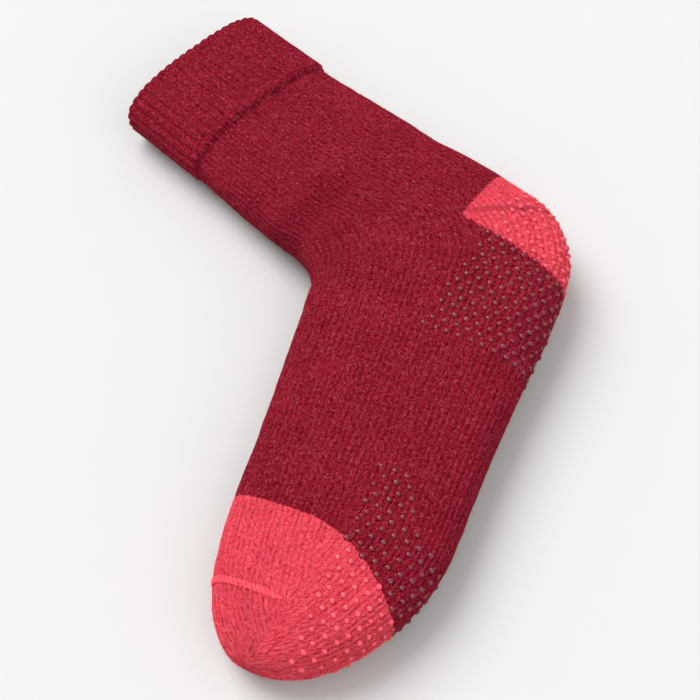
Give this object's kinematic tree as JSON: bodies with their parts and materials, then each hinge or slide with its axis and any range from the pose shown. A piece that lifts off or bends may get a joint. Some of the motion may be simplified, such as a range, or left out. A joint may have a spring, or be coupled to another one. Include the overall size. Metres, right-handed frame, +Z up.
{
  "type": "slipper sock",
  "caption": "Thick knitted crew slipper sock with contrasting heel and toe pockets and a dotted grip sole, lying on its side.",
  "frame": {"origin": "middle of the sock's bounding box on the floor it lies on", "axes": "+X from the toe towards the heel, +Y from the sole towards the cuff, +Z up from the floor"},
  "size_m": [0.2906, 0.217, 0.0351],
  "materials": {
    "knit": "burgundy brushed knit with coral toe and heel pockets, matt, with clear raised grip dots under the foot",
    "toe_yarn": "coral yarn, matt"
  },
  "bodies": {
    "root": {"knit_body": "knit", "toe_seam": "toe_yarn"}
  },
  "joints": []
}
